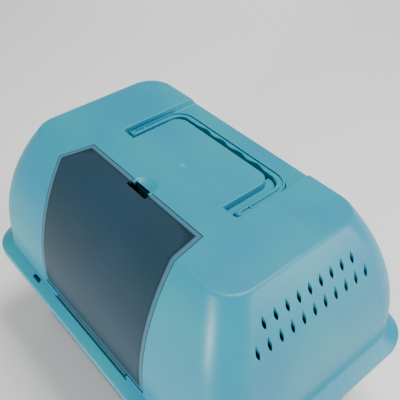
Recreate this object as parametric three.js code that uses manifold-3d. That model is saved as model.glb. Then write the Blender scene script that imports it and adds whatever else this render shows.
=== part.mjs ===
// A hooded cat litter box in moulded plastic: a deep tray, a domed hood that drops over its rim,
// a smoked hatch in the long front side, a swing flap in the left end and a carrying handle that
// folds into the top. Millimetres, +Z up, origin on the floor under the middle of the box.
import * as THREE from "three";
import { mergeVertices } from "three/addons/utils/BufferGeometryUtils.js";
import Module from "manifold-3d";

const wasm = await Module();
wasm.setup();

// Overall size, and the flat top of the hood.
const LENGTH = 590;
const DEPTH = 390;
const HEIGHT = 420;
const FLANGE = 79.4; // how far the hood's flange stands out past the flat top, on every side
const TOP_X = LENGTH / 2 - FLANGE;
const TOP_Y = DEPTH / 2 - FLANGE;

// The hood's wall is an arc that leans out from the top and ends upright above the flange.
const WALL_R = 375;
const WALL_FOOT = 61; // how far the upright foot of the wall stands out past the flat top
const ARC_Z = HEIGHT - 205;
const FOOT_Z = 203;
const FLANGE_Z = 189;
const SKIRT_Z = 176;
const WALL = 3;
const TOP_CORNER = 40;
const CORNER_GROWTH = 0.15; // extra corner radius for each millimetre the wall stands out

// The tray.
const TRAY_FLOOR_Z = 3;
const RIM_Z = 186.2;
const TRAY_WALL = 3;
const RIM_X = 289.6;
const RIM_Y = 189.6;

// Rubber feet under the tray's corners.
const FOOT_R = 12;
const FOOT_GAP = 0.3;
const FOOT_X = 205;
const FOOT_Y = 105;

// The hatch, and the rebate it lies in.
const HATCH_BACK_Y = -66.3;
const HATCH_HALF_BACK = 118;
const HATCH_HALF = 127;
const HATCH_FOOT_Z = 204;
const HATCH_THICK = 2.2;
const REBATE = 2.5;
const LEDGE = 3;
const LEDGE_WIDTH = 7;
const HATCH_GAP = 0.8;
const HINGE_Y = -177.5;
const HINGE_Z = 201.5;
const HINGE_HALF = 89;
const NOTCH_HALF = 20.5;
const NOTCH_DEPTH = 13;
const SCOOP_R = 47;
const SCOOP_DEPTH = 4;
const LIP_X0 = -14.6; // the lip that hangs down behind the hatch's notch
const LIP_X1 = 19;
const LIP_DEPTH = 21;
const LIP_THICK = 2.4;
const TAB_WIDTH = 4.7;
const TAB_REACH = 4;

// The handle and the recess that it folds into.
const RECESS_HALF = 122;
const RECESS_FRONT_Y = -14;
const RECESS_FLOOR_Z = 408.5;
const CHANNEL_FLOOR_Z = 404.8;
const PAD_HALF = 95;
const PAD_BACK_Y = 71;
const PAD_CORNER = 18;
const WELL_HALF = 84; // the deeper well behind the pad, for the fingers
const WELL_BACK_Y = 86;
const WELL_FLOOR_Z = 397;
const PIVOT_Y = -2;
const PIVOT_Z = 409.9;
const HANDLE_HALF = 118;
const ARM_WIDTH = 11;
const GRIP_WIDTH = 11.8;
const HANDLE_BACK_Y = 93;
const HANDLE_CORNER = 30;
const HANDLE_TOP_Z = 414;
const HANDLE_FOOT_Z = 405.8;
const PIVOT_R = 3;
const PIN_GAP = 0.4;
const PIN_REACH = 1.6; // how far a pin reaches into its socket, past the recess wall
const SOCKET_DEPTH = 2.4;
const FINGER_COUNT = 4;
const FINGER_PITCH = 35.5;
const FINGER_MIDDLE = 4; // the hollows sit a little towards the right hand side
const FINGER_DEPTH = 3.4;

// The way in at the left end, with its surround and flap.
const DOOR_HALF = 92;
const DOOR_LOW_Z = 209;
const DOOR_HIGH_Z = 388;
const DOOR_CORNER = 12;
const SURROUND = 3;
const SURROUND_INNER_X = -229;
const FLAP_X = -236;
const FLAP_PIVOT_Z = 374;
const FLAP_THICK = 2.4;
const FLAP_GAP = 3;
const FLAP_PIN_R = 2.4;

// Air vents in the right end: two rows of pointed slots.
const VENT_PITCH = 18.8;
const VENT_MIDDLE_Y = -3;
const VENT_ROWS = [
  { z: 385, count: 9, height: 16 },
  { z: 358.5, count: 11, height: 19 },
];
const VENT_WIDTH = 5.6;
const VENT_REACH = 14; // how far below its foot a vent is cut, to go through the leaning wall

// Snap lugs of the tray, and the slots in the flange that they stand in.
const LUG_X = 148;
const LUG_Y = 184.6;
const LUG_LENGTH = 15;
const LUG_THICK = 2.6;
const LUG_RISE = 6.5; // how far a lug stands above the tray's rim
const SLOT_LENGTH = 19.5;
const SLOT_WIDTH = 5.8;

const TEAL = new THREE.MeshStandardMaterial({ color: 0x5fa6bd, roughness: 0.45, metalness: 0 });
const SMOKED = new THREE.MeshStandardMaterial({ color: 0x41596b, roughness: 0.35, metalness: 0 });
const SLATE = new THREE.MeshStandardMaterial({ color: 0x46545f, roughness: 0.55, metalness: 0 });
const RUBBER = new THREE.MeshStandardMaterial({ color: 0x2b2d30, roughness: 0.9, metalness: 0 });

// A three.js geometry as a manifold-3d solid, and back.
function solid(geometry) {
  const bare = geometry.index ? geometry.toNonIndexed() : geometry.clone();
  bare.deleteAttribute("normal");
  bare.deleteAttribute("uv");
  const merged = mergeVertices(bare, 1e-4);
  return new wasm.Manifold(
    new wasm.Mesh({
      numProp: 3,
      vertProperties: merged.attributes.position.array,
      triVerts: new Uint32Array(merged.index.array),
    }),
  );
}

function geometryOf(shape) {
  const mesh = shape.getMesh();
  const geometry = new THREE.BufferGeometry();
  geometry.setAttribute("position", new THREE.BufferAttribute(mesh.vertProperties, 3));
  geometry.setIndex(new THREE.BufferAttribute(mesh.triVerts, 1));
  return geometry;
}

function box(x0, x1, y0, y1, z0, z1) {
  const geometry = new THREE.BoxGeometry(x1 - x0, y1 - y0, z1 - z0);
  geometry.translate((x0 + x1) / 2, (y0 + y1) / 2, (z0 + z1) / 2);
  return solid(geometry);
}

// An outline extruded along one of the axes, from low to high.
function prism(outline, axis, low, high, curveSegments = 5) {
  const geometry = new THREE.ExtrudeGeometry(outline, {
    depth: high - low,
    bevelEnabled: false,
    curveSegments,
  });
  geometry.translate(0, 0, low);
  if (axis === "x") {
    geometry.rotateX(Math.PI / 2);
    geometry.rotateZ(Math.PI / 2);
  }
  if (axis === "y") {
    geometry.rotateX(Math.PI / 2);
    geometry.scale(1, -1, 1);
    return solid(flipped(geometry));
  }
  return solid(geometry);
}

function flipped(geometry) {
  const bare = geometry.index ? geometry.toNonIndexed() : geometry.clone();
  const p = bare.attributes.position.array;
  for (let i = 0; i < p.length; i += 9)
    for (let k = 0; k < 3; k += 1) [p[i + 3 + k], p[i + 6 + k]] = [p[i + 6 + k], p[i + 3 + k]];
  return bare;
}

// The low and high ends of a stretch of X that is mirrored to the side -1 or 1.
function span(side, from, to) {
  return [Math.min(side * from, side * to), Math.max(side * from, side * to)];
}

function cylinder(axis, radius, low, high, a, b, sides = 24) {
  const outline = new THREE.Shape();
  outline.absarc(a, b, radius, 0, 2 * Math.PI, false);
  return prism(outline, axis, low, high, sides);
}

// A rectangle with round corners, as a Shape.
function roundedRectangle(x0, x1, y0, y1, r) {
  const s = new THREE.Shape();
  s.moveTo(x0 + r, y0);
  s.lineTo(x1 - r, y0);
  s.absarc(x1 - r, y0 + r, r, -Math.PI / 2, 0, false);
  s.lineTo(x1, y1 - r);
  s.absarc(x1 - r, y1 - r, r, 0, Math.PI / 2, false);
  s.lineTo(x0 + r, y1);
  s.absarc(x0 + r, y1 - r, r, Math.PI / 2, Math.PI, false);
  s.lineTo(x0, y0 + r);
  s.absarc(x0 + r, y0 + r, r, Math.PI, 1.5 * Math.PI, false);
  return s;
}

// One level of a loft: a rounded rectangle as a ring of points.
const CORNER_STEPS = 8;
function ring({ z, x, y, r }) {
  const points = [];
  const corners = [[1, 1, 0], [-1, 1, 1], [-1, -1, 2], [1, -1, 3]];
  for (const [sx, sy, turn] of corners)
    for (let i = 0; i <= CORNER_STEPS; i += 1) {
      const a = ((turn + i / CORNER_STEPS) * Math.PI) / 2;
      points.push([sx * (x - r) + r * Math.cos(a), sy * (y - r) + r * Math.sin(a), z]);
    }
  return points;
}

// A closed solid through rounded rectangles, given from the lowest up.
function loft(levels) {
  const rings = levels.map(ring);
  const n = rings[0].length;
  const points = rings.flat();
  const faces = [];
  for (let k = 0; k + 1 < rings.length; k += 1)
    for (let i = 0; i < n; i += 1) {
      const a = k * n + i;
      const b = k * n + ((i + 1) % n);
      faces.push([a, b, b + n], [a, b + n, a + n]);
    }
  const top = (rings.length - 1) * n;
  for (let i = 1; i + 1 < n; i += 1) {
    faces.push([0, i + 1, i]);
    faces.push([top, top + i, top + i + 1]);
  }
  const geometry = new THREE.BufferGeometry();
  geometry.setAttribute("position", new THREE.Float32BufferAttribute(points.flat(), 3));
  geometry.setIndex(faces.flat());
  return solid(geometry);
}

// How far the hood's surface, taken in by inset, stands out past the flat top at a height.
function wallOut(z, inset) {
  const r = WALL_R - inset;
  const h = Math.max(z - ARC_Z, 0);
  return WALL_FOOT - WALL_R + Math.sqrt(r * r - h * h);
}

// The hood's outer body, taken in by inset all over.
const WALL_STEPS = 12;
function hoodBody(inset) {
  const level = (z, out) => ({
    z,
    x: TOP_X + out,
    y: TOP_Y + out,
    r: TOP_CORNER + CORNER_GROWTH * out,
  });
  const foot = FOOT_Z - 0.6 * inset;
  const top = HEIGHT - inset;
  const levels = [
    level(SKIRT_Z - (inset ? 1 : 0), FLANGE - inset),
    level(FLANGE_Z - 2.5 - 0.8 * inset, FLANGE - inset),
    level(FLANGE_Z - 0.8 * inset, FLANGE - 2 - inset),
    level(foot, wallOut(foot, inset) + 0.8),
    level(foot + 2, wallOut(foot, inset)),
  ];
  const last = top - 2.4;
  for (let i = 0; i <= WALL_STEPS; i += 1) {
    const z = ARC_Z + ((last - ARC_Z) * i) / WALL_STEPS;
    levels.push(level(z, wallOut(z, inset)));
  }
  const edge = wallOut(last, inset);
  levels.push(level(top - 0.7, edge - 1.7));
  levels.push(level(top, edge - 4));
  return loft(levels);
}

// Everything within the hatch's outline, grown by a margin. It runs through the front and the top.
function hatchRegion(grow) {
  const plan = new THREE.Shape();
  const back = HATCH_BACK_Y + grow;
  plan.moveTo(-HATCH_HALF_BACK - grow, back);
  plan.lineTo(-HATCH_HALF - grow, -TOP_Y);
  plan.lineTo(-HATCH_HALF - grow, -DEPTH);
  plan.lineTo(HATCH_HALF + grow, -DEPTH);
  plan.lineTo(HATCH_HALF + grow, -TOP_Y);
  plan.lineTo(HATCH_HALF_BACK + grow, back);
  return prism(plan, "z", HATCH_FOOT_Z - grow, HEIGHT + 10);
}

function recess(grow) {
  const outer = new THREE.Shape();
  const front = RECESS_FRONT_Y - grow;
  const half = RECESS_HALF + grow;
  const r = 6;
  outer.moveTo(-half + r, front);
  outer.lineTo(half - r, front);
  outer.absarc(half - r, front + r, r, -Math.PI / 2, 0, false);
  outer.lineTo(half, DEPTH);
  outer.lineTo(-half, DEPTH);
  outer.lineTo(-half, front + r);
  outer.absarc(-half + r, front + r, r, Math.PI, 1.5 * Math.PI, false);
  const pad = roundedRectangle(
    -PAD_HALF + grow, PAD_HALF - grow, -HEIGHT, PAD_BACK_Y - grow, PAD_CORNER,
  );
  return prism(outer, "z", RECESS_FLOOR_Z - grow, HEIGHT + 10).subtract(
    prism(pad, "z", RECESS_FLOOR_Z - 20, HEIGHT + 20),
  );
}

function fingerWell(grow) {
  return box(
    -WELL_HALF - grow, WELL_HALF + grow,
    PAD_BACK_Y - grow, WELL_BACK_Y + grow,
    WELL_FLOOR_Z - grow, HEIGHT,
  );
}

// The handle's outline in plan, grown by a margin: two arms and a grip.
function handleOutline(grow) {
  const half = HANDLE_HALF + grow;
  const back = HANDLE_BACK_Y + grow;
  const inside = HANDLE_HALF - ARM_WIDTH - grow;
  const gripInner = HANDLE_BACK_Y - GRIP_WIDTH - grow;
  const end = PIVOT_Y - grow * 2;
  const r = HANDLE_CORNER + grow;
  const q = HANDLE_CORNER - GRIP_WIDTH;
  const s = new THREE.Shape();
  s.moveTo(half, end);
  s.lineTo(half, back - r);
  s.absarc(half - r, back - r, r, 0, Math.PI / 2, false);
  s.lineTo(-half + r, back);
  s.absarc(-half + r, back - r, r, Math.PI / 2, Math.PI, false);
  s.lineTo(-half, end);
  s.lineTo(-inside, end);
  s.lineTo(-inside, gripInner - q);
  s.absarc(-inside + q, gripInner - q, q, Math.PI, Math.PI / 2, true);
  s.lineTo(inside - q, gripInner);
  s.absarc(inside - q, gripInner - q, q, Math.PI / 2, 0, true);
  s.lineTo(inside, end);
  return s;
}

function doorway(grow) {
  return prism(
    roundedRectangle(
      -DOOR_HALF - grow, DOOR_HALF + grow, DOOR_LOW_Z - grow, DOOR_HIGH_Z + grow, DOOR_CORNER + grow,
    ),
    "x", -LENGTH, 0,
  );
}

// How far the hood's end wall stands out from the middle, at one height on its arc.
function wallX(z) {
  const rise = z - ARC_Z;
  return TOP_X + WALL_FOOT - WALL_R + Math.sqrt(WALL_R ** 2 - rise ** 2);
}

// The vents are cut straight down, the way the mould opens: each one is narrow at both ends in plan.
function vents() {
  const cuts = [];
  for (const row of VENT_ROWS)
    for (let i = 0; i < row.count; i += 1) {
      const y = VENT_MIDDLE_Y + (i - (row.count - 1) / 2) * VENT_PITCH;
      const low = row.z - row.height / 2;
      const x0 = wallX(row.z + row.height / 2);
      const x1 = wallX(low);
      const widest = (x0 + 2 * x1) / 3;
      const s = new THREE.Shape();
      s.moveTo(x0, y);
      s.quadraticCurveTo(widest, y - VENT_WIDTH, x1, y);
      s.quadraticCurveTo(widest, y + VENT_WIDTH, x0, y);
      cuts.push(prism(s, "z", low - VENT_REACH, HEIGHT, 3));
    }
  return wasm.Manifold.union(cuts);
}

function lugSlots() {
  const cuts = [];
  const reach = SLOT_LENGTH / 2;
  for (const x of [-LUG_X, LUG_X])
    for (const y of [-LUG_Y, LUG_Y])
      cuts.push(box(x - reach, x + reach, y - SLOT_WIDTH / 2, y + SLOT_WIDTH / 2, SKIRT_Z, FOOT_Z + 5));
  return wasm.Manifold.union(cuts);
}

function makeHood() {
  const outer = hoodBody(0);
  const channel = (grow) =>
    prism(handleOutline(2 + grow), "z", CHANNEL_FLOOR_Z - grow, HEIGHT + 10);
  const scoop = new THREE.SphereGeometry(SCOOP_R, 48, 32);
  scoop.rotateX(Math.PI / 2);
  scoop.translate(0, HATCH_BACK_Y, HEIGHT + SCOOP_R - SCOOP_DEPTH);
  const scoopBacking = box(-24, 24, HATCH_BACK_Y - 2, HATCH_BACK_Y + 24, HEIGHT - 8, HEIGHT - 1);
  const catchGap = box(
    -NOTCH_HALF, NOTCH_HALF, HATCH_BACK_Y - 30, HATCH_BACK_Y + HATCH_GAP, HEIGHT - 20, HEIGHT,
  );
  const ledge = hoodBody(REBATE)
    .subtract(hoodBody(REBATE + LEDGE))
    .intersect(hatchRegion(6))
    .subtract(hatchRegion(-LEDGE_WIDTH))
    .subtract(catchGap);
  const cavity = hoodBody(WALL)
    .subtract(recess(WALL))
    .subtract(channel(WALL))
    .subtract(fingerWell(WALL))
    .subtract(scoopBacking);
  const hingeSlot = box(
    -HINGE_HALF - 2, HINGE_HALF + 2, HINGE_Y - 3.2, HINGE_Y + 3.2, HINGE_Z - 3.2, HINGE_Z + 12,
  );
  const hingeBed = box(
    -HINGE_HALF - 6, HINGE_HALF + 6, HINGE_Y - 5.5, HINGE_Y + 8, HINGE_Z - 6.5, HINGE_Z - 1,
  );
  const lip = box(
    LIP_X0, LIP_X1, HATCH_BACK_Y + HATCH_GAP, HATCH_BACK_Y + HATCH_GAP + LIP_THICK,
    HEIGHT - LIP_DEPTH, HEIGHT - SCOOP_DEPTH - 0.5,
  );
  let hood = outer
    .subtract(cavity)
    .subtract(recess(0))
    .subtract(channel(0))
    .subtract(fingerWell(0))
    .subtract(hatchRegion(HATCH_GAP))
    .add(ledge)
    .add(lip)
    .add(hingeBed)
    .subtract(hingeSlot)
    .subtract(solid(scoop))
    .subtract(doorway(0.4))
    .subtract(vents())
    .subtract(lugSlots());
  for (const side of [-1, 1]) {
    const [x0, x1] = span(side, NOTCH_HALF - TAB_WIDTH - HATCH_GAP, NOTCH_HALF - HATCH_GAP);
    const tab = box(x0, x1, HATCH_BACK_Y - TAB_REACH, HATCH_BACK_Y + 5, HEIGHT - 5, HEIGHT - 1);
    const [p0, p1] = span(side, HANDLE_HALF + 1, RECESS_HALF + SOCKET_DEPTH);
    const socket = cylinder("x", PIVOT_R + PIN_GAP, p0, p1, PIVOT_Y, PIVOT_Z);
    hood = hood.add(tab).subtract(socket);
  }
  return hood;
}

function makeHatch() {
  const bead = cylinder("x", 2, -HINGE_HALF, HINGE_HALF, HINGE_Y, HINGE_Z, 16);
  const web = box(-HINGE_HALF, HINGE_HALF, HINGE_Y + 0.2, HINGE_Y + 2, HINGE_Z, HATCH_FOOT_Z + 1);
  const notch = box(
    -NOTCH_HALF, NOTCH_HALF, HATCH_BACK_Y - NOTCH_DEPTH, HATCH_BACK_Y + 10, HEIGHT - 10, HEIGHT + 10,
  );
  return hoodBody(0.1)
    .subtract(hoodBody(HATCH_THICK))
    .intersect(hatchRegion(0))
    .subtract(notch)
    .add(web)
    .add(bead);
}

// One finger hollow in plan: a wave from crest to crest, closed in front of the grip.
function fingerHollow(middle) {
  const half = FINGER_PITCH / 2 - 0.05;
  const edge = HANDLE_BACK_Y - GRIP_WIDTH;
  const s = new THREE.Shape();
  s.moveTo(middle - half + 1, edge - 1);
  s.lineTo(middle + half - 1, edge - 1);
  for (let k = 0; k <= 20; k += 1) {
    const x = half * (1 - k / 10);
    const wave = 0.5 + 0.5 * Math.cos((2 * Math.PI * x) / FINGER_PITCH);
    s.lineTo(middle + x, edge + FINGER_DEPTH * wave);
  }
  s.closePath();
  return s;
}

function makeHandle() {
  let handle = prism(handleOutline(0), "z", HANDLE_FOOT_Z, HANDLE_TOP_Z, 8);
  for (let i = 0; i < FINGER_COUNT; i += 1) {
    const middle = FINGER_MIDDLE + (i - (FINGER_COUNT - 1) / 2) * FINGER_PITCH;
    const hollow = prism(fingerHollow(middle), "z", HANDLE_FOOT_Z - 5, HANDLE_TOP_Z + 5);
    handle = handle.subtract(hollow);
  }
  const barrelR = (HANDLE_TOP_Z - HANDLE_FOOT_Z) / 2;
  for (const side of [-1, 1]) {
    const [b0, b1] = span(side, HANDLE_HALF - ARM_WIDTH, HANDLE_HALF);
    const [p0, p1] = span(side, HANDLE_HALF, RECESS_HALF + PIN_REACH);
    handle = handle
      .add(cylinder("x", barrelR, b0, b1, PIVOT_Y, PIVOT_Z))
      .add(cylinder("x", PIVOT_R, p0, p1, PIVOT_Y, PIVOT_Z));
  }
  return handle;
}

function makeSurround() {
  return doorway(0)
    .subtract(doorway(-SURROUND))
    .intersect(hoodBody(0.1))
    .intersect(box(-LENGTH, SURROUND_INNER_X, -DEPTH, DEPTH, 0, HEIGHT))
    .subtract(cylinder("y", FLAP_PIN_R + 0.4, -DEPTH, DEPTH, FLAP_X, FLAP_PIVOT_Z));
}

function makeFlap() {
  const half = DOOR_HALF - SURROUND - FLAP_GAP;
  const low = DOOR_LOW_Z + SURROUND + FLAP_GAP;
  const sheet = prism(
    roundedRectangle(-half, half, low, FLAP_PIVOT_Z + 2.4, 2),
    "x", FLAP_X - FLAP_THICK / 2, FLAP_X + FLAP_THICK / 2,
  );
  const bar = cylinder("y", FLAP_PIN_R, -DOOR_HALF + 0.4, DOOR_HALF - 0.4, FLAP_X, FLAP_PIVOT_Z);
  return sheet.add(bar);
}

function makeTray() {
  const level = (z, x, y, r) => ({ z, x, y, r });
  const tub = (inset, floor) =>
    loft([
      level(floor, 252 - inset, 152 - inset, 42 - inset),
      level(floor + 5, 256 - inset, 156 - inset, 45 - inset),
      level(RIM_Z + (inset ? 1 : 0), 274 - inset, 174 - inset, 48 - inset),
    ]);
  const rim = loft([
    level(RIM_Z - 3, RIM_X - 1, RIM_Y - 1, 51),
    level(RIM_Z, RIM_X, RIM_Y, 52),
  ]);
  const lugs = [];
  const reach = LUG_LENGTH / 2;
  for (const x of [-LUG_X, LUG_X])
    for (const y of [-LUG_Y, LUG_Y])
      lugs.push(
        box(x - reach, x + reach, y - LUG_THICK / 2, y + LUG_THICK / 2, RIM_Z - 2, RIM_Z + LUG_RISE),
      );
  return tub(0, TRAY_FLOOR_Z)
    .add(rim)
    .add(wasm.Manifold.union(lugs))
    .subtract(tub(TRAY_WALL, TRAY_FLOOR_Z + TRAY_WALL));
}

function makeFoot() {
  return cylinder("z", FOOT_R, 0, TRAY_FLOOR_Z - FOOT_GAP, 0, 0, 24);
}

const group = new THREE.Group();
function add(name, shape, material, x = 0, y = 0) {
  const mesh = new THREE.Mesh(geometryOf(shape), material);
  mesh.name = name;
  mesh.position.set(x, y, 0);
  group.add(mesh);
}

add("tray", makeTray(), SLATE);
add("hood", makeHood(), TEAL);
add("front_hatch", makeHatch(), SMOKED);
add("carry_handle", makeHandle(), TEAL);
add("entry_surround", makeSurround(), TEAL);
add("entry_flap", makeFlap(), SMOKED);
for (const [side, x] of [["left", -FOOT_X], ["right", FOOT_X]])
  for (const [end, y] of [["front", -FOOT_Y], ["back", FOOT_Y]])
    add(`foot_${end}_${side}`, makeFoot(), RUBBER, x, y);

export default group;
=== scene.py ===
# A hooded cat litter box: a deep tray, a domed teal hood with a smoked hatch in its long front side,
# a folding carrying handle in its top, a swing flap in its left end and air vents in its right end.
import math

import bmesh
import bpy
from mathutils import Matrix, Vector


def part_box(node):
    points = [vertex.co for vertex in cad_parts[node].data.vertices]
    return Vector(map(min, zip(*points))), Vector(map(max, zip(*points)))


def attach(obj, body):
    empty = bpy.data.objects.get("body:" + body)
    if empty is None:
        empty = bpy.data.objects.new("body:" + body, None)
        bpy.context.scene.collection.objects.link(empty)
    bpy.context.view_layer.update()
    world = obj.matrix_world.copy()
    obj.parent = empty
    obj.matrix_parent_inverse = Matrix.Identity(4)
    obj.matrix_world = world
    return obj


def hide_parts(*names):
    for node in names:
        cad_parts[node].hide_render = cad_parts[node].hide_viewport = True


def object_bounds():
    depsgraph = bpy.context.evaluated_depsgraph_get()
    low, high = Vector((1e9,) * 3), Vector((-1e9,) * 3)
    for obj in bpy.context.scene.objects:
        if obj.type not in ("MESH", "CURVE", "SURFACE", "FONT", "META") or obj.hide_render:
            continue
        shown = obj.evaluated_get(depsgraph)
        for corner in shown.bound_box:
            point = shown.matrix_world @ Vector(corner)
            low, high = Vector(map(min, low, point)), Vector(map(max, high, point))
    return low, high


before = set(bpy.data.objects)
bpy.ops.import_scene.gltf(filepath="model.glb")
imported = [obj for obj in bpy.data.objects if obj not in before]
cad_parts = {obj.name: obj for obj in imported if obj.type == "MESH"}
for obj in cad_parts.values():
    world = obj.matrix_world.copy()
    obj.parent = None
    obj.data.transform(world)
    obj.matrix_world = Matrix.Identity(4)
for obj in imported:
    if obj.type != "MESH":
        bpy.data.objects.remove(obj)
cad_box = [list(corner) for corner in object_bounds()]

MM = 0.001
LOW, HIGH = (Vector(corner) for corner in cad_box)

# ---------------------------------------------------------------- camera, floor and studio light
# A studio table top: the camera looks down over the front right corner, through a normal lens. Soft
# boxes light it from overhead, past the top's far fold, from the right and from the back, and a narrow
# strip in front shows as a highlight in the hood's corners. The surround is pale.
VIEW_AZIMUTH = math.radians(49.8)
VIEW_ELEVATION = math.radians(42.0)
CAMERA_PLACE = (0.4872, -0.3819, 0.9146)
LENS_MM = 52.87
FILM_MM = 36.0
NEAREST = 0.02
BOX_MIDDLE = Vector((0.0, 0.0, 0.3))
WHITE = (1.0, 1.0, 1.0)
WARM_WHITE = (1.0, 0.99, 0.97)
COOL_WHITE = (0.98, 0.99, 1.0)
SURROUND_STRENGTH = 0.33
FLOOR_SIZE = 12.0
FLOOR_PAINT = "#f6f7f7"
FLOOR_PAINT_CLOUD = "#fbfbfa"


def pointed(thing, direction):
    """Turns a camera or a lamp to look in a direction, and puts it in the scene."""
    thing.rotation_euler = Vector(direction).to_track_quat("-Z", "Y").to_euler()
    bpy.context.scene.collection.objects.link(thing)
    return thing


camera = bpy.data.objects.new("camera", bpy.data.cameras.new("camera"))
camera.data.lens = LENS_MM
camera.data.sensor_width = FILM_MM
camera.data.clip_start = NEAREST
camera.location = CAMERA_PLACE
pointed(
    camera,
    (
        -math.sin(VIEW_AZIMUTH) * math.cos(VIEW_ELEVATION),
        math.cos(VIEW_AZIMUTH) * math.cos(VIEW_ELEVATION),
        -math.sin(VIEW_ELEVATION),
    ),
)
bpy.context.scene.camera = camera


def soft_box(name, place, size, watts, colour=WHITE):
    """A rectangular lamp that faces the litter box. Its place and size are in metres."""
    lamp = bpy.data.lights.new(name, "AREA")
    lamp.shape = "RECTANGLE"
    lamp.size, lamp.size_y = size
    lamp.energy = watts
    lamp.color = colour
    box = bpy.data.objects.new(name, lamp)
    box.location = place
    return pointed(box, BOX_MIDDLE - Vector(place))


soft_box("overhead_light", (0.1, 0.6, 2.4), (1.0, 1.0), 49.0, WARM_WHITE)
soft_box("fold_light", (1.35, 1.1, 1.75), (0.5, 0.5), 12.0)
soft_box("right_light", (2.1, 1.2, 0.62), (1.5, 0.7), 31.0, COOL_WHITE)
soft_box("back_light", (-1.7, 1.6, 0.6), (1.4, 0.4), 9.0)
soft_box("corner_light", (0.5, -2.2, 0.6), (0.16, 0.9), 46.0)


def linear(hex_colour):
    """An sRGB colour such as "#5fa6bd" as linear RGBA."""
    parts = [int(hex_colour[i : i + 2], 16) / 255 for i in (1, 3, 5)]
    return tuple(c / 12.92 if c <= 0.04045 else ((c + 0.055) / 1.055) ** 2.4 for c in parts) + (1.0,)


def add_node(tree, kind, settings=None, **links):
    """Adds a node. Settings are its properties. Links are its inputs, by name or, such as _0, by number,
    and each is a value or an output socket."""
    made = tree.nodes.new(kind)
    for key, value in (settings or {}).items():
        setattr(made, key, value)
    for key, value in links.items():
        socket = made.inputs[int(key[1:]) if key[1:].isdigit() else key.replace("_", " ")]
        if isinstance(value, bpy.types.NodeSocket):
            tree.links.new(value, socket)
        else:
            socket.default_value = value
    return made


def new_material(name):
    """A new material and its empty node tree."""
    made = bpy.data.materials.new(name)
    made.use_nodes = True
    made.node_tree.nodes.clear()
    return made, made.node_tree


def painted_floor():
    """Matt white paint on a smooth board: flat, with faint clouds about 0.7 m across."""
    made, tree = new_material("matt_white_paint")
    place = add_node(tree, "ShaderNodeTexCoord")
    cloud = add_node(tree, "ShaderNodeTexNoise", Vector=place.outputs["Object"], Scale=1.5)
    tone = add_node(
        tree,
        "ShaderNodeMix",
        {"data_type": "RGBA"},
        _0=cloud.outputs["Fac"],
        _6=linear(FLOOR_PAINT),
        _7=linear(FLOOR_PAINT_CLOUD),
    )
    surface = add_node(tree, "ShaderNodeBsdfPrincipled", Base_Color=tone.outputs[2], Roughness=0.9)
    add_node(tree, "ShaderNodeOutputMaterial", Surface=surface.outputs["BSDF"])
    return made


def mesh_object(name, vertices, faces, material=None):
    """A new object at the origin, from vertices in metres."""
    mesh = bpy.data.meshes.new(name)
    mesh.from_pydata([tuple(v) for v in vertices], [], faces)
    if material:
        mesh.materials.append(material)
    made = bpy.data.objects.new(name, mesh)
    bpy.context.scene.collection.objects.link(made)
    return made


half = FLOOR_SIZE / 2
floor = mesh_object(
    "floor",
    [(-half, -half, LOW.z), (half, -half, LOW.z), (half, half, LOW.z), (-half, half, LOW.z)],
    [(0, 1, 2, 3)],
    painted_floor(),
)

world = bpy.data.worlds.new("pale_surround")
world.use_nodes = True
world.node_tree.nodes["Background"].inputs["Color"].default_value = (*WHITE, 1.0)
world.node_tree.nodes["Background"].inputs["Strength"].default_value = SURROUND_STRENGTH
bpy.context.scene.world = world

# ---------------------------------------------------------------- hood
# One deep shell in teal polypropylene, injected at the middle of its flat top. Its walls lean out in
# an arc to a sloping flange that drops over the tray's rim. The handle's recess, the rebate for the
# hatch, the slots and the vents are all formed in the same moulding.
HOOD_TEAL = "#0886a5"
HOOD_TEAL_FLOW = "#2394a4"
SATIN = 0.36
# The gate's mark at the middle of the top: a blush, and a dish and a nub of (radius, depth) pairs.
GATE_BLUSH = "#7fb6c4"
GATE_BLUSH_R = 6.0
GATE_DISH = ((1.2, 0.7), (2.2, 0.65), (4.0, 0.25), (5.2, 0.0), (5.4, -1.0))
GATE_NUB = ((1.6, 1.2), (1.5, 0.3), (1.1, 0.1), (0.4, 0.05))
# The hood's form: how far its flange and its walls' foot stand out past the flat top, and its heights.
FLANGE = 79.4
TOP_X = HIGH.x / MM - FLANGE
TOP_Y = HIGH.y / MM - FLANGE
TOP_Z = HIGH.z / MM
WALL_R = 375.0
WALL_FOOT = 61.0
ARC_RISE = 205.0
ARC_Z = TOP_Z - ARC_RISE
LIP_Z = 187.2
ROOT_Z = 203.7
SKIRT_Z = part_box("hood")[0].z / MM
WALL = 3.0
FOLD_R = 6.0
HOOD_RIM = 0.7
LIP_R = 4.0
ROOT_R = 10.0
CORNER_R = 40.0
CORNER_GROWTH = 0.15
# How far a cutter runs out through the whole hood, and how far just past a face.
FAR = 400.0
PAST = 5.0


def ring(z, x0, x1, y0, y1, r, steps=12):
    """A rounded rectangle at one height, as points in millimetres, anticlockwise."""
    points = []
    corners = ((x1 - r, y1 - r, 0), (x0 + r, y1 - r, 1), (x0 + r, y0 + r, 2), (x1 - r, y0 + r, 3))
    for cx, cy, quarter in corners:
        for i in range(steps + 1):
            a = (quarter + i / steps) * math.pi / 2
            points.append((cx + r * math.cos(a), cy + r * math.sin(a), z))
    return points


def loft(name, rings):
    """A closed solid through rings that have the same number of points, from the lowest up."""
    count = len(rings[0])
    faces = [list(range(count))[::-1]]
    for k in range(len(rings) - 1):
        for i in range(count):
            j = (i + 1) % count
            faces.append((k * count + i, k * count + j, (k + 1) * count + j, (k + 1) * count + i))
    faces.append([(len(rings) - 1) * count + i for i in range(count)])
    return mesh_object(name, [Vector(p) * MM for one in rings for p in one], faces)


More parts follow.
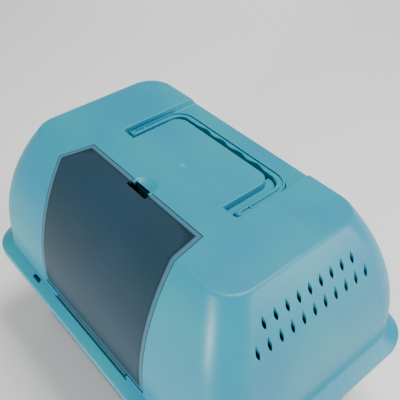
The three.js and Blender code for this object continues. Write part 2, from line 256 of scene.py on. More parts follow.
def rounded_path(points, steps=6):
    """A line of (a, b, radius) points, with an arc in place of each corner that has a radius."""
    path = []
    for i, (a, b, radius) in enumerate(points):
        if radius == 0 or i in (0, len(points) - 1):
            path.append((a, b))
            continue
        here = Vector((a, b))
        back = (Vector(points[i - 1][:2]) - here).normalized()
        on = (Vector(points[i + 1][:2]) - here).normalized()
        half_angle = back.angle(on) / 2
        middle = here + (back + on).normalized() * (radius / math.sin(half_angle))
        start = here + back * (radius / math.tan(half_angle)) - middle
        end = here + on * (radius / math.tan(half_angle)) - middle
        turn = start.angle_signed(end)
        for k in range(steps + 1):
            t = -turn * k / steps
            c, s = math.cos(t), math.sin(t)
            path.append((middle.x + c * start.x - s * start.y, middle.y + s * start.x + c * start.y))
    return path


def hood_profile(inset, arc_steps=28, fold_steps=6):
    """(out, z) up the hood's surface, taken in by an inset: out is how far past the flat top it is. An
    inset surface starts a little lower, so that it cuts right through the skirt's foot."""
    slope = (ROOT_Z - LIP_Z) / (FLANGE - WALL_FOOT)
    drop = inset * math.hypot(1, slope)
    path = rounded_path(
        [
            (FLANGE - inset, SKIRT_Z - (1 if inset else 0), 0),
            (FLANGE - inset, LIP_Z + slope * inset - drop, max(LIP_R - inset, 1)),
            (WALL_FOOT - inset, ROOT_Z + slope * inset - drop, ROOT_R + inset),
            (WALL_FOOT - inset, ARC_Z, 0),
        ]
    )
    radius, fold = WALL_R - inset, max(FOLD_R - inset, 1)
    rise = TOP_Z - inset - fold - ARC_Z
    fold_out = WALL_FOOT - WALL_R + math.sqrt((radius - fold) ** 2 - rise**2)
    top_angle = math.asin(rise / (radius - fold))
    for k in range(1, arc_steps + 1):
        a = top_angle * k / arc_steps
        path.append((WALL_FOOT - WALL_R + radius * math.cos(a), ARC_Z + radius * math.sin(a)))
    for k in range(1, fold_steps + 1):
        a = top_angle + (math.pi / 2 - top_angle) * k / fold_steps
        path.append((fold_out + fold * math.cos(a), TOP_Z - inset - fold + fold * math.sin(a)))
    return path


def hood_body(name, inset, steps=14):
    """The hood's outer form as a solid, taken in by an inset."""
    rings = []
    for out, z in hood_profile(inset):
        x, y = TOP_X + out, TOP_Y + out
        rings.append(ring(z, -x, x, -y, y, CORNER_R + CORNER_GROWTH * out, steps))
    return loft(name, rings)


def combine(piece, other, operation="DIFFERENCE"):
    """Cuts the other solid out of the piece, or joins it on, and removes the other."""
    modifier = piece.modifiers.new("combine", "BOOLEAN")
    modifier.operation = operation
    modifier.solver = "MANIFOLD"
    modifier.object = other
    settle(piece)
    bpy.data.objects.remove(other)
    return piece


def settle(piece):
    """Applies a piece's modifiers."""
    view = bpy.context.evaluated_depsgraph_get()
    done = bpy.data.meshes.new_from_object(piece.evaluated_get(view))
    piece.modifiers.clear()
    old, piece.data = piece.data, done
    bpy.data.meshes.remove(old)
    return piece


def block(name, x0, x1, y0, y1, z0, z1, r=0.5):
    """An upright block between those limits, with its upright edges rounded."""
    return loft(name, [ring(z, x0, x1, y0, y1, r, 3) for z in (z0, z1)])


def column(name, outline, z0, z1):
    """A flat outline of (x, y) points, anticlockwise, extruded upwards."""
    return loft(name, [[(x, y, z) for x, y in outline] for z in (z0, z1)])


def turned(piece, axes):
    """The piece laid along another axis: "zxy" turns its height along X, and "yzx" along Y."""
    for v in piece.data.vertices:
        v.co = Vector([v.co["xyz".index(axis)] for axis in axes])
    return piece


# The opening for the hatch, and the ledge set back in it that the hatch's border lies on.
HATCH_BACK_Y = -66.3
HATCH_HALF_BACK = 118.0
HATCH_HALF = 127.0
HATCH_FOOT_Z = 204.0
HATCH_GAP = 0.8
REBATE = 2.5
LEDGE = 3.0
LEDGE_WIDTH = 7.0
LEDGE_OVERLAP = 6.0
NOTCH_HALF = 20.5


def hatch_region(name, grow):
    """All that lies within the hatch's outline, grown by a margin, out through the front and the top."""
    back = HATCH_BACK_Y + grow
    plan = [
        (-HATCH_HALF - grow, -FAR),
        (HATCH_HALF + grow, -FAR),
        (HATCH_HALF + grow, -TOP_Y),
        (HATCH_HALF_BACK + grow, back),
        (-HATCH_HALF_BACK - grow, back),
        (-HATCH_HALF - grow, -TOP_Y),
    ]
    return column(name, plan, HATCH_FOOT_Z - grow, TOP_Z + PAST)


# The recess in the top, open at the back, with a raised pad in it that the handle goes round.
RECESS_HALF = 122.0
RECESS_FRONT_Y = -14.0
RECESS_FLOOR_Z = 408.5
RECESS_CORNER = 6.0
CHANNEL_FLOOR_Z = 404.8
CHANNEL_GAP = 2.0
PAD_HALF = 95.0
PAD_BACK_Y = 71.0
PAD_CORNER = 18.0
RIM_ROUND = 1.6
LEAD_IN = 8.0
FLOOR_ROUND = 1.5
DRAFT = 0.12


def recess_cutter(name, grow=0.0):
    """The recess as a solid: its outer walls, drafted and rounded at rim and floor, less the pad."""
    floor_z = RECESS_FLOOR_Z - grow
    wall = rounded_path(
        [
            (-LEAD_IN, floor_z, 0),
            (-DRAFT * (TOP_Z - RECESS_FLOOR_Z), floor_z, FLOOR_ROUND),
            (0.0, TOP_Z, RIM_ROUND),
            (LEAD_IN, TOP_Z, 0),
        ]
    )[1:-1]
    wall.append((wall[-1][0], TOP_Z + PAST))
    outer = []
    for out, z in wall:
        half = RECESS_HALF + grow + out
        outer.append(ring(z, -half, half, RECESS_FRONT_Y - grow - out, FAR, RECESS_CORNER + out))
    pad = []
    for out, z in [(wall[0][0], wall[0][1] - PAST)] + wall:
        half = PAD_HALF - grow - out
        pad.append(ring(z, -half, half, -FAR, PAD_BACK_Y - grow - out, PAD_CORNER - out))
    return combine(loft(name, outer), loft(name + "_pad", pad))


# The deeper well behind the pad.
WELL_HALF = 84.0
WELL_BACK_Y = 86.0
WELL_FLOOR_Z = 397.0
WELL_MOUTH = 6.0
WELL_ROUND = 2.0


def finger_well(name, grow):
    """The well as a solid, grown by a margin. The fingers go into it, under the grip."""
    half = WELL_HALF + grow
    front, back = PAD_BACK_Y - grow, WELL_BACK_Y + grow
    return block(name, -half, half, front, back, WELL_FLOOR_Z - grow, TOP_Z - WELL_MOUTH, WELL_ROUND)


# The handle's outline and its pivots, which the recess's channel and sockets are made to.
HANDLE_HALF = 118.0
ARM_WIDTH = 11.0
GRIP_WIDTH = 11.8
HANDLE_BACK_Y = 93.0
HANDLE_CORNER = 30.0
PIVOT_Y = -2.0
PIVOT_Z = 409.9
PIVOT_R = 3.0
PIN_GAP = 0.4
PIN_REACH = 1.6
SOCKET_DEPTH = 2.4


def arc(cx, cy, r, start, end, steps):
    """Points round an arc, with its angles in quarter turns."""
    angles = [(start + (end - start) * i / steps) * math.pi / 2 for i in range(steps + 1)]
    return [(cx + r * math.cos(a), cy + r * math.sin(a)) for a in angles]


def handle_outline(grow, end_y=PIVOT_Y):
    """The handle in plan, anticlockwise, grown by a margin: two arms, up to an end, and a grip."""
    half = HANDLE_HALF + grow
    back = HANDLE_BACK_Y + grow
    inside = HANDLE_HALF - ARM_WIDTH - grow
    grip = HANDLE_BACK_Y - GRIP_WIDTH - grow
    outer_r = HANDLE_CORNER + grow
    inner_r = HANDLE_CORNER - GRIP_WIDTH
    end = end_y - grow
    return (
        [(half, end)]
        + arc(half - outer_r, back - outer_r, outer_r, 0, 1, 14)
        + arc(-half + outer_r, back - outer_r, outer_r, 1, 2, 14)
        + [(-half, end), (-inside, end)]
        + arc(-inside + inner_r, grip - inner_r, inner_r, 2, 1, 10)
        + arc(inside - inner_r, grip - inner_r, inner_r, 1, 0, 10)
        + [(inside, end)]
    )


def channel(name, grow, low, high):
    """The channel that the handle lies in, with twice its gap in front of the handle's barrels."""
    gap = CHANNEL_GAP + grow
    return column(name, handle_outline(gap, PIVOT_Y - gap), low, high)


# The opening for the entry, in the left end.
DOOR_HALF = 92.0
DOOR_LOW_Z = 209.0
DOOR_HIGH_Z = 388.0
DOOR_CORNER = 12.0
DOOR_GAP = 0.4


def doorway(name, grow):
    """A prism along X through the left end, with the entry's rounded outline."""
    y, low, high = DOOR_HALF + grow, DOOR_LOW_Z - grow, DOOR_HIGH_Z + grow
    rings = [ring(x, -y, y, low, high, DOOR_CORNER + grow, 10) for x in (-FAR, 0)]
    return turned(loft(name, rings), "zxy")


# The slots in the flange for the tray's four lugs.
LUG_X = 148.0
LUG_Y = 184.6
SLOT_LENGTH = 19.5
SLOT_HALF_WIDTH = 2.9
SLOT_ROUND = 1.5
# The bed moulded into the flange, and the slot in it, for the bead along the hatch's foot.
HINGE_Y = -177.5
HINGE_Z = 201.5
HINGE_HALF = 89.0
BED_END = 6.0
BED_FRONT = 5.5
BED_BACK = 8.0
BED_LOW = 6.5
BED_HIGH = 1.0
BEAD_SLOT_END = 2.0
BEAD_SLOT_HALF = 3.2
BEAD_SLOT_MOUTH = 12.0
FOOT_ROOM = 12.0
# The thumb scoop behind the hatch's notch, and the lip and two tabs of its catch.
SCOOP_HALF = 19.0
SCOOP_DEPTH = 4.0
SCOOP_STEPS = 14
CATCH_ROOM = 24.0
CATCH_ROOM_DEPTH = 8.0
CATCH_GAP_DEPTH = 20.0
CATCH_GAP_FRONT = 30.0
LIP_X = (-14.6, 19.0)
LIP_DEPTH = 21.0
LIP_THICK = 2.4
TAB_X = 17.3
TAB_HALF = 2.4
TAB_FRONT = 4.0
TAB_BACK = 5.0
TAB_LOW = 5.0
TAB_HIGH = 1.0
# The vents: two rows in the right end, each with its middle's height, its count and a vent's height.
VENT_PITCH = 18.8
VENT_MIDDLE_Y = -3.0
VENT_ROWS = ((385.0, 9, 16.0), (358.5, 11, 19.0))
VENT_WIDTH = 5.6
VENT_LEAN = 1.25
VENT_FULLNESS = 0.8
VENT_STEPS = 16
VENT_REACH = 14.0


def circle(x, y, r, z, steps):
    """Points round a level circle, anticlockwise."""
    angles = [2 * math.pi * i / steps for i in range(steps)]
    return [(x + r * math.cos(a), y + r * math.sin(a), z) for a in angles]


def bar(name, axis, x, y, z, r, length, steps=32, round_ends=0.0):
    """A round bar along X, Y or Z from a point, in millimetres."""
    ends = [(r, 0.0), (r, length)]
    if round_ends:
        tip = r - round_ends
        ends = [(tip, 0.0), (r, round_ends), (r, length - round_ends), (tip, length)]
    rings = [circle(0, 0, q, h, steps) for q, h in ends]
    made = turned(loft(name, rings), {"X": "zxy", "Y": "yzx", "Z": "xyz"}[axis])
    made.data.transform(Matrix.Translation(Vector((x, y, z)) * MM))
    return made


def group_socket(tree, name, kind):
    """A named input for a node group."""
    return tree.interface.new_socket(name=name, in_out="INPUT", socket_type="NodeSocket" + kind)


def row_tree():
    """Copies of a piece in a straight row: how many, how far apart and where the first one is."""
    tree = bpy.data.node_groups.new("row_of_copies", "GeometryNodeTree")
    group_socket(tree, "Piece", "Geometry")
    group_socket(tree, "Count", "Int")
    group_socket(tree, "First", "Vector")
    group_socket(tree, "Spacing", "Vector")
    group_socket(tree, "Material", "Material")
    tree.interface.new_socket(name="Row", in_out="OUTPUT", socket_type="NodeSocketGeometry")
    given = add_node(tree, "NodeGroupInput").outputs
    line = add_node(
        tree,
        "GeometryNodeMeshLine",
        {"mode": "OFFSET"},
        Count=given["Count"],
        Start_Location=given["First"],
        Offset=given["Spacing"],
    )
    copies = add_node(
        tree, "GeometryNodeInstanceOnPoints", Points=line.outputs["Mesh"], Instance=given["Piece"]
    )
    real = add_node(tree, "GeometryNodeRealizeInstances", Geometry=copies.outputs["Instances"])
    dressed = add_node(
        tree,
        "GeometryNodeSetMaterial",
        Geometry=real.outputs["Geometry"],
        Material=given["Material"],
    )
    add_node(tree, "NodeGroupOutput", Row=dressed.outputs["Geometry"])
    return tree


ROW = row_tree()


def row_of(piece, count, first, spacing, material=None):
    """The piece repeated in a row, as one mesh. Places are in millimetres."""
    modifier = piece.modifiers.new("row", "NODES")
    modifier.node_group = ROW
    values = {
        "Count": count,
        "First": [v * MM for v in first],
        "Spacing": [v * MM for v in spacing],
        "Material": material,
    }
    for item in ROW.interface.items_tree:
        if item.in_out == "INPUT" and item.name in values and values[item.name] is not None:
            modifier[item.identifier] = values[item.name]
    return settle(piece)


def wall_x(z):
    """How far the hood's end wall stands out from the middle, at one height on its arc."""
    return TOP_X + WALL_FOOT - WALL_R + math.sqrt(WALL_R**2 - (z - ARC_Z) ** 2)


def vent_slot(level, height):
    """One vent as an upright solid, cut the way the mould opens. On the leaning wall it comes out pointed
    above, blunt below and widest a little below its middle."""
    outline = []
    for i in range(2 * VENT_STEPS):
        t = i / VENT_STEPS
        side, u = (-1, t) if t <= 1 else (1, 2 - t)
        width = 0.0
        if 0 < u < 1:
            width = VENT_WIDTH / 2 * math.sin(math.pi * u**VENT_LEAN) ** VENT_FULLNESS
        outline.append((wall_x(level + height * (0.5 - u)), side * width))
    return column("vent", outline, level - height / 2 - VENT_REACH, TOP_Z + PAST)


# Points closer than this are one point.
ONE_POINT = 0.004 * MM


def soften(piece, width, chosen, segments=2, sharp=0.6):
    """Rounds the sharp edges whose middle point, in millimetres, is one of the chosen. Where a rounded
    edge ends at a corner, nothing is left standing above the top."""
    shape = bmesh.new()
    shape.from_mesh(piece.data)
    bmesh.ops.remove_doubles(shape, verts=shape.verts, dist=ONE_POINT)
    bmesh.ops.dissolve_degenerate(shape, edges=shape.edges, dist=ONE_POINT)
    edges = [
        e
        for e in shape.edges
        if len(e.link_faces) == 2
        and e.calc_face_angle(0) > sharp
        and chosen((e.verts[0].co + e.verts[1].co) / (2 * MM))
    ]
    bmesh.ops.bevel(
        shape,
        geom=edges,
        offset=width * MM,
        segments=segments,
        profile=0.5,
        affect="EDGES",
        clamp_overlap=False,
    )
    for vert in shape.verts:
        vert.co.z = min(vert.co.z, HIGH.z)
    shape.to_mesh(piece.data)
    shape.free()
    return piece


def smooth(piece, crease=32.0):
    """Smooth shading that keeps flat faces flat and creases sharp."""
    piece.data.polygons.foreach_set("use_smooth", [True] * len(piece.data.polygons))
    piece.data.set_sharp_from_angle(angle=math.radians(crease))
    modifier = piece.modifiers.new("weighted", "WEIGHTED_NORMAL")
    modifier.keep_sharp = True
    return settle(piece)


def dished(name, x, y, z, levels):
    """A round solid for a shallow dish: (radius, depth) pairs from its lowest point up."""
    return loft(name, [circle(x, y, r, z - depth, 48) for r, depth in levels])


# The shell: the recess, the channel, the well and the scoop each keep a wall of their own below them.
hood = hood_body("hood_shell", 0.0)
cavity = hood_body("cavity", WALL, 10)
combine(cavity, recess_cutter("recess_lining", WALL))
combine(cavity, channel("channel_lining", WALL, CHANNEL_FLOOR_Z - WALL, TOP_Z))
combine(cavity, finger_well("well_lining", WALL))
catch_lining = block("catch_lining", -CATCH_ROOM, CATCH_ROOM,
                     HATCH_BACK_Y - 2, HATCH_BACK_Y + CATCH_ROOM, TOP_Z - CATCH_ROOM_DEPTH, TOP_Z)
combine(cavity, catch_lining)
combine(hood, cavity)
combine(hood, recess_cutter("recess"))
combine(hood, channel("channel", 0.0, CHANNEL_FLOOR_Z, RECESS_FLOOR_Z + 4))
combine(hood, finger_well("well", 0.0))

# The hatch's opening, its ledge and its bead's slot.
combine(hood, hatch_region("hatch_opening", HATCH_GAP))
ledge = hood_body("ledge", REBATE)
combine(ledge, hood_body("ledge_inside", REBATE + LEDGE))
combine(ledge, hatch_region("ledge_outline", LEDGE_OVERLAP), "INTERSECT")
combine(ledge, hatch_region("ledge_hole", -LEDGE_WIDTH))
catch_gap = block("catch_gap", -NOTCH_HALF, NOTCH_HALF,
                  HATCH_BACK_Y - CATCH_GAP_FRONT, HATCH_BACK_Y + HATCH_GAP, TOP_Z - CATCH_GAP_DEPTH, TOP_Z)
combine(ledge, catch_gap)
half = HATCH_HALF + HATCH_GAP
foot_room = block("foot_room", -half, half, -FAR, REBATE - TOP_Y - WALL_FOOT,
                  HATCH_FOOT_Z - HATCH_GAP, HATCH_FOOT_Z + FOOT_ROOM)
combine(ledge, foot_room)
combine(hood, ledge, "UNION")
half = HINGE_HALF + BED_END
hinge_bed = block("hinge_bed", -half, half, HINGE_Y - BED_FRONT, HINGE_Y + BED_BACK,
                  HINGE_Z - BED_LOW, HINGE_Z - BED_HIGH)
combine(hood, hinge_bed, "UNION")
half = HINGE_HALF + BEAD_SLOT_END
bead_slot = block("bead_slot", -half, half, HINGE_Y - BEAD_SLOT_HALF, HINGE_Y + BEAD_SLOT_HALF,
                  HINGE_Z - BEAD_SLOT_HALF, HINGE_Z + BEAD_SLOT_MOUTH, SLOT_ROUND)
combine(hood, bead_slot)

# The entry, the vents and the slots for the tray's lugs.
combine(hood, doorway("door_opening", DOOR_GAP))
for level, count, height in VENT_ROWS:
    vents = row_of(
        vent_slot(level, height),
        count,
        (0, VENT_MIDDLE_Y - (count - 1) / 2 * VENT_PITCH, 0),
        (0, VENT_PITCH, 0),
    )
    combine(hood, vents)
for x in (-LUG_X, LUG_X):
    for y in (-LUG_Y, LUG_Y):
        slot = block("lug_slot", x - SLOT_LENGTH / 2, x + SLOT_LENGTH / 2,
                     y - SLOT_HALF_WIDTH, y + SLOT_HALF_WIDTH, SKIRT_Z + 2, ROOT_Z + PAST, SLOT_ROUND)
        combine(hood, slot)

# The scoop and the catch, the mark that the gate left, and the sockets for the handle's pins.
shares = [k / SCOOP_STEPS for k in range(1, SCOOP_STEPS)]
scoop = [(0.2, SCOOP_DEPTH)] + [(SCOOP_HALF * t, SCOOP_DEPTH * (1 - t**3)) for t in shares]
scoop += [(SCOOP_HALF, 0.1), (SCOOP_HALF + 0.4, -2)]
combine(hood, dished("scoop", 0, HATCH_BACK_Y, TOP_Z, scoop))
combine(hood, dished("gate_dish", 0, 0, TOP_Z, GATE_DISH))
combine(hood, dished("gate_nub", 0, 0, TOP_Z, GATE_NUB), "UNION")
lip_front = HATCH_BACK_Y + HATCH_GAP
lip = block("catch_lip", *LIP_X, lip_front, lip_front + LIP_THICK,
            TOP_Z - LIP_DEPTH, TOP_Z - SCOOP_DEPTH - 0.5)
combine(hood, lip, "UNION")
for side in (-1, 1):
    x = side * TAB_X
    tab = block("catch_tab", x - TAB_HALF, x + TAB_HALF,
                HATCH_BACK_Y - TAB_FRONT, HATCH_BACK_Y + TAB_BACK, TOP_Z - TAB_LOW, TOP_Z - TAB_HIGH)
    combine(hood, tab, "UNION")
    start, end = sorted((side * (HANDLE_HALF + 1), side * (RECESS_HALF + SOCKET_DEPTH)))
    combine(hood, bar("pivot_socket", "X", start, PIVOT_Y, PIVOT_Z, PIVOT_R + PIN_GAP, end - start))


def on_hood(p):
    """How far a point lies under the hood's outer surface, roughly, in millimetres."""
    if p.z > TOP_Z - 1:
        return TOP_Z - p.z
    rise = max(p.z - ARC_Z, 0)
    out = WALL_FOOT - WALL_R + math.sqrt(WALL_R**2 - rise**2)
    return min(TOP_X + out - abs(p.x), TOP_Y + out - abs(p.y))


def on_rim(p):
    """The rims to round off: round the hatch, the vents, the entry and the recess's open back."""
    if p.z < ROOT_Z - 1 or abs(on_hood(p)) > 0.6:
        return False
    round_hatch = p.y < HATCH_BACK_Y + 2 and abs(p.x) < HATCH_HALF + 2
    at_recess = p.y > TOP_Y and p.z > RECESS_FLOOR_Z - 1 and abs(abs(p.x) - RECESS_HALF) < 4
    at_end = abs(p.x) > TOP_X + 4 and abs(p.y) < TOP_Y + 20
    return round_hatch or at_recess or at_end


soften(hood, HOOD_RIM, on_rim)


def polypropylene(name, body, flow, roughness, gated=False):
    """Moulded polypropylene, satin: it has a waxy sheen, faint flow clouds 110 mm across where the melt
    ran together, specks of 2 mm in its gloss, and a slight orange peel of 6 mm that breaks up the
    reflection of a lamp. A gated piece also has a pale blush round the point where the melt came in."""
    made, tree = new_material(name)
    place = add_node(tree, "ShaderNodeTexCoord").outputs["Object"]
    run = add_node(tree, "ShaderNodeMapping", Vector=place, Scale=(0.6, 1.0, 1.0))
    clouds = add_node(
        tree,
        "ShaderNodeTexNoise",
        Vector=run.outputs["Vector"],
        Scale=1 / 0.11,
        Detail=3.0,
        Roughness=0.45,
    )
    spread = add_node(
        tree, "ShaderNodeMapRange", Value=clouds.outputs["Fac"], From_Min=0.35, From_Max=0.65
    )
    tone = add_node(
        tree,
        "ShaderNodeMix",
        {"data_type": "RGBA"},
        _0=spread.outputs["Result"],
        _6=linear(body),
        _7=linear(flow),
    )
    colour = tone.outputs[2]
    if gated:
        from_gate = add_node(
            tree, "ShaderNodeVectorMath", {"operation": "DISTANCE"}, _0=place, _1=(0, 0, HIGH.z)
        )
        wisps = add_node(tree, "ShaderNodeTexNoise", Vector=place, Scale=1 / 0.004, Detail=2.0)
        reach = add_node(
            tree,
            "ShaderNodeMapRange",
            Value=from_gate.outputs["Value"],
            From_Min=0.0,
            From_Max=GATE_BLUSH_R * MM,
            To_Min=0.8,
            To_Max=0.0,
        )
        pale = add_node(
            tree,
            "ShaderNodeMath",
            {"operation": "MULTIPLY"},
            _0=reach.outputs["Result"],
            _1=wisps.outputs["Fac"],
        )
        blush = add_node(
            tree,
            "ShaderNodeMix",
            {"data_type": "RGBA"},
            _0=pale.outputs["Value"],
            _6=colour,
            _7=linear(GATE_BLUSH),
        )
        colour = blush.outputs[2]
    speck = add_node(tree, "ShaderNodeTexNoise", Vector=place, Scale=1 / 0.0022, Detail=2.0)
    gloss = add_node(
        tree,
        "ShaderNodeMapRange",
        Value=speck.outputs["Fac"],
        From_Min=0.3,
        From_Max=0.7,
        To_Min=roughness - 0.04,
        To_Max=roughness + 0.05,
    )
    peel = add_node(tree, "ShaderNodeTexNoise", Vector=place, Scale=1 / 0.006, Detail=1.0)
    skin = add_node(
        tree, "ShaderNodeBump", Height=peel.outputs["Fac"], Strength=0.25, Distance=0.0002
    )
    surface = add_node(
        tree,
        "ShaderNodeBsdfPrincipled",
        Base_Color=colour,
        Roughness=gloss.outputs["Result"],
        IOR=1.49,
        Specular_IOR_Level=0.38,
        Normal=skin.outputs["Normal"],
    )
    add_node(tree, "ShaderNodeOutputMaterial", Surface=surface.outputs["BSDF"])
    return made


def dress(piece, material, body, node):
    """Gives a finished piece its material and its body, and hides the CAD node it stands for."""
    piece.data.materials.clear()
    piece.data.materials.append(material)
    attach(piece, body)
    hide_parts(node)


teal_polypropylene = polypropylene("teal_polypropylene", HOOD_TEAL, HOOD_TEAL_FLOW, SATIN)
gated_polypropylene = polypropylene("teal_polypropylene_gated", HOOD_TEAL, HOOD_TEAL_FLOW, SATIN, True)
dress(smooth(hood), gated_polypropylene, "cover", "hood")

# ---------------------------------------------------------------- front hatch
# A thin sheet of smoked polystyrene, moulded with a fold so that it follows the hood over the top's
# front edge. It lies in the hood's rebate, turns on a bead along its foot, and has a notch at the top
# for the catch. The ledge behind it is painted on: a paler band along its border stands for the ledge
# seen through the sheet, with a painted shade inside the band.
SMOKE = "#233e4f"
SMOKE_DEEP = "#213a46"
# A paler band painted along the hatch's border for the ledge seen through it, and a painted shade inside it.
SMOKE_PAINTED_SEE_THROUGH = "#456e80"
SMOKE_SHADE = "#0c2630"
HATCH_THICK = 2.2
HATCH_SKIN = 0.1
NOTCH_DEPTH = 13.0
NOTCH_ROWS = (22.0, 32.0)
# The painted band's width and where it has faded out, and how far in the painted shade beside it reaches.
BAND_OUTER = 5.0
BAND_INNER = 6.6
SHADE_INNER = 10.0
TOP_PART = 20.0
PLAIN_COLUMNS = (80.0, 50.0)
FOOT_STRAIGHT = 10.0
HATCH_EDGE = 0.7
BEAD_R = 2.0
WEB = (0.2, 2.0)
WEB_ROUND = 0.4


def hatch_path():
    """(y, z) down the hatch's face, from its back edge, with more rows near its borders. Its foot is
    straight, clear of the curve at the foot of the hood's wall."""
    curve = [
        (-(TOP_Y + out), z)
        for out, z in reversed(hood_profile(HATCH_SKIN, 30))
        if z > HATCH_FOOT_Z + FOOT_STRAIGHT and out < WALL_FOOT
    ]
    top_z = curve[0][1]
    back_rows = [HATCH_BACK_Y - d for d in (0, BAND_OUTER, BAND_INNER, NOTCH_DEPTH, *NOTCH_ROWS)]
    foot_y = -(TOP_Y + WALL_FOOT - HATCH_SKIN)
    foot_rows = [HATCH_FOOT_Z + d for d in (BAND_INNER, BAND_OUTER, 0)]
    return [(y, top_z) for y in back_rows] + curve + [(foot_y, z) for z in foot_rows]


def hatch_half(y):
    """Half the hatch's width: it narrows over the top, from the top's front edge to its back."""
    along = min(max((HATCH_BACK_Y - y) / (HATCH_BACK_Y + TOP_Y), 0), 1)
    return HATCH_HALF_BACK + (HATCH_HALF - HATCH_HALF_BACK) * along


# The hatch's face as rows of points, less the notch. Each point carries how far in from the border it
# lies, which places the painted band and its painted shade.
vertices, faces, border = [], [], []
rows = hatch_path()
for y, z in rows:
    edge = hatch_half(y)
    from_back = HATCH_BACK_Y - y if z > TOP_Z - TOP_PART else FAR
    halves = [edge, edge - BAND_OUTER, edge - BAND_INNER, *PLAIN_COLUMNS, NOTCH_HALF]
    for x in [-v for v in halves] + [0.0] + halves[::-1]:
        vertices.append((x * MM, y * MM, z * MM))
        border.append(min(edge - abs(x), from_back, z - HATCH_FOOT_Z))
columns = 2 * len(halves) + 1
notch = (len(halves) - 1, len(halves))
for k, (y, z) in enumerate(rows[:-1]):
    for i in range(columns - 1):
        if y > HATCH_BACK_Y - NOTCH_DEPTH + 0.1 and i in notch:
            continue
        here, below = k * columns + i, (k + 1) * columns + i
        faces.append((here, below, below + 1, here + 1))
hatch = mesh_object("smoked_hatch", vertices, faces)
band = hatch.data.attributes.new("border", "FLOAT", "POINT")
band.data.foreach_set("value", border)
bpy.context.view_layer.update()
if hatch.data.polygons[0].normal.z < 0:
    hatch.data.flip_normals()
wall = hatch.modifiers.new("thickness", "SOLIDIFY")
wall.thickness = HATCH_THICK * MM
wall.offset = -1.0
wall.use_even_offset = True
edges = hatch.modifiers.new("round_edges", "BEVEL")
edges.width = HATCH_EDGE * MM
edges.segments = 2
edges.limit_method = "ANGLE"
edges.angle_limit = math.radians(60)
settle(hatch)


def smoked_polystyrene(name, painted_see_through):
    """Smoked polystyrene: a dark sheet, a little glossier than the hood, with clouds 160 mm across and
    a ripple of 20 mm. With the painted see-through, it also has a paler band painted along its border for
    the ledge seen through it, and a painted shade inside the band for the ledge's shadow seen through."""
    made, tree = new_material(name)
    place = add_node(tree, "ShaderNodeTexCoord").outputs["Object"]
    clouds = add_node(tree, "ShaderNodeTexNoise", Vector=place, Scale=1 / 0.16, Detail=2.0)
    spread = add_node(
        tree, "ShaderNodeMapRange", Value=clouds.outputs["Fac"], From_Min=0.35, From_Max=0.65
    )
    tone = add_node(
        tree,
        "ShaderNodeMix",
        {"data_type": "RGBA"},
        _0=spread.outputs["Result"],
        _6=linear(SMOKE),
        _7=linear(SMOKE_DEEP),
    )
    colour = tone.outputs[2]
    if painted_see_through:
        # Painted see-through: a paler band along the border stands for the ledge behind, and a painted shade
        # inside it.
        reach = add_node(tree, "ShaderNodeAttribute", {"attribute_name": "border"})
        inside = add_node(
            tree,
            "ShaderNodeMapRange",
            Value=reach.outputs["Fac"],
            From_Min=BAND_INNER,
            From_Max=SHADE_INNER,
            To_Min=0.7,
            To_Max=0.0,
        )
        shaded = add_node(
            tree,
            "ShaderNodeMix",
            {"data_type": "RGBA"},
            _0=inside.outputs["Result"],
            _6=colour,
            _7=linear(SMOKE_SHADE),
        )
        edge = add_node(
            tree,
            "ShaderNodeMapRange",
            Value=reach.outputs["Fac"],
            From_Min=BAND_OUTER,
            From_Max=BAND_INNER,
            To_Min=1.0,
            To_Max=0.0,
        )
        bordered = add_node(
            tree,
            "ShaderNodeMix",
            {"data_type": "RGBA"},
            _0=edge.outputs["Result"],
            _6=shaded.outputs[2],
            _7=linear(SMOKE_PAINTED_SEE_THROUGH),
        )
        colour = bordered.outputs[2]
    ripple = add_node(tree, "ShaderNodeTexNoise", Vector=place, Scale=1 / 0.02, Detail=1.0)
    skin = add_node(
        tree, "ShaderNodeBump", Height=ripple.outputs["Fac"], Strength=0.2, Distance=0.0003
    )
    surface = add_node(
        tree,
        "ShaderNodeBsdfPrincipled",
        Base_Color=colour,
        Roughness=0.34,
        IOR=1.58,
        Specular_IOR_Level=0.1,
        Normal=skin.outputs["Normal"],
    )
    add_node(tree, "ShaderNodeOutputMaterial", Surface=surface.outputs["BSDF"])
    return made


web = block("hatch_web", -HINGE_HALF, HINGE_HALF, HINGE_Y + WEB[0], HINGE_Y + WEB[1],
            HINGE_Z, HATCH_FOOT_Z + 1, WEB_ROUND)
combine(hatch, web, "UNION")
bead = bar("hatch_bead", "X", -HINGE_HALF, HINGE_Y, HINGE_Z, BEAD_R, 2 * HINGE_HALF, 24)
combine(hatch, bead, "UNION")
polystyrene_with_painted_see_through = smoked_polystyrene("smoked_polystyrene_painted_see_through", True)
dress(smooth(hatch), polystyrene_with_painted_see_through, "hatch", "front_hatch")

# ---------------------------------------------------------------- carrying handle
# One teal polypropylene moulding, two arms and a grip, that springs onto sockets in the recess walls.
# A groove follows its outer edge, and the grip has finger hollows along its inner edge.
HANDLE_TOP_Z = 414.0
HANDLE_FOOT_Z = 405.8
HANDLE_EDGE = 1.1
FINGER_COUNT = 4
FINGER_PITCH = 35.5
FINGER_MIDDLE = 4.0
FINGER_DEPTH = 3.4
# The groove, between two lines at these distances from the outer edge, and the bridge across each arm.
GROOVE_OUTER = 2.7
GROOVE_INNER = 6.1
GROOVE_DEPTH = 2.2
GROOVE_END_Y = PIVOT_Y + 4.0
BRIDGE_Y = 18.0
BRIDGE_HALF = 1.6
BRIDGE_SIDE = 3.0
BARREL_EDGE = 0.8
PIN_EDGE = 0.5
PIN_ROOT = 2.0
FINGER_EDGE = 0.9
GROOVE_EDGE = 0.5
WAVE_STEPS = 28

section = rounded_path(
    [
        (-ARM_WIDTH / 2, HANDLE_FOOT_Z, 0),
        (0.0, HANDLE_FOOT_Z, HANDLE_EDGE),
        (0.0, HANDLE_TOP_Z, HANDLE_EDGE),
        (-ARM_WIDTH / 2, HANDLE_TOP_Z, 0),
    ],
    4,
)[1:-1]
handle = loft("carrying_handle", [[(x, y, z) for x, y in handle_outline(out)] for out, z in section])


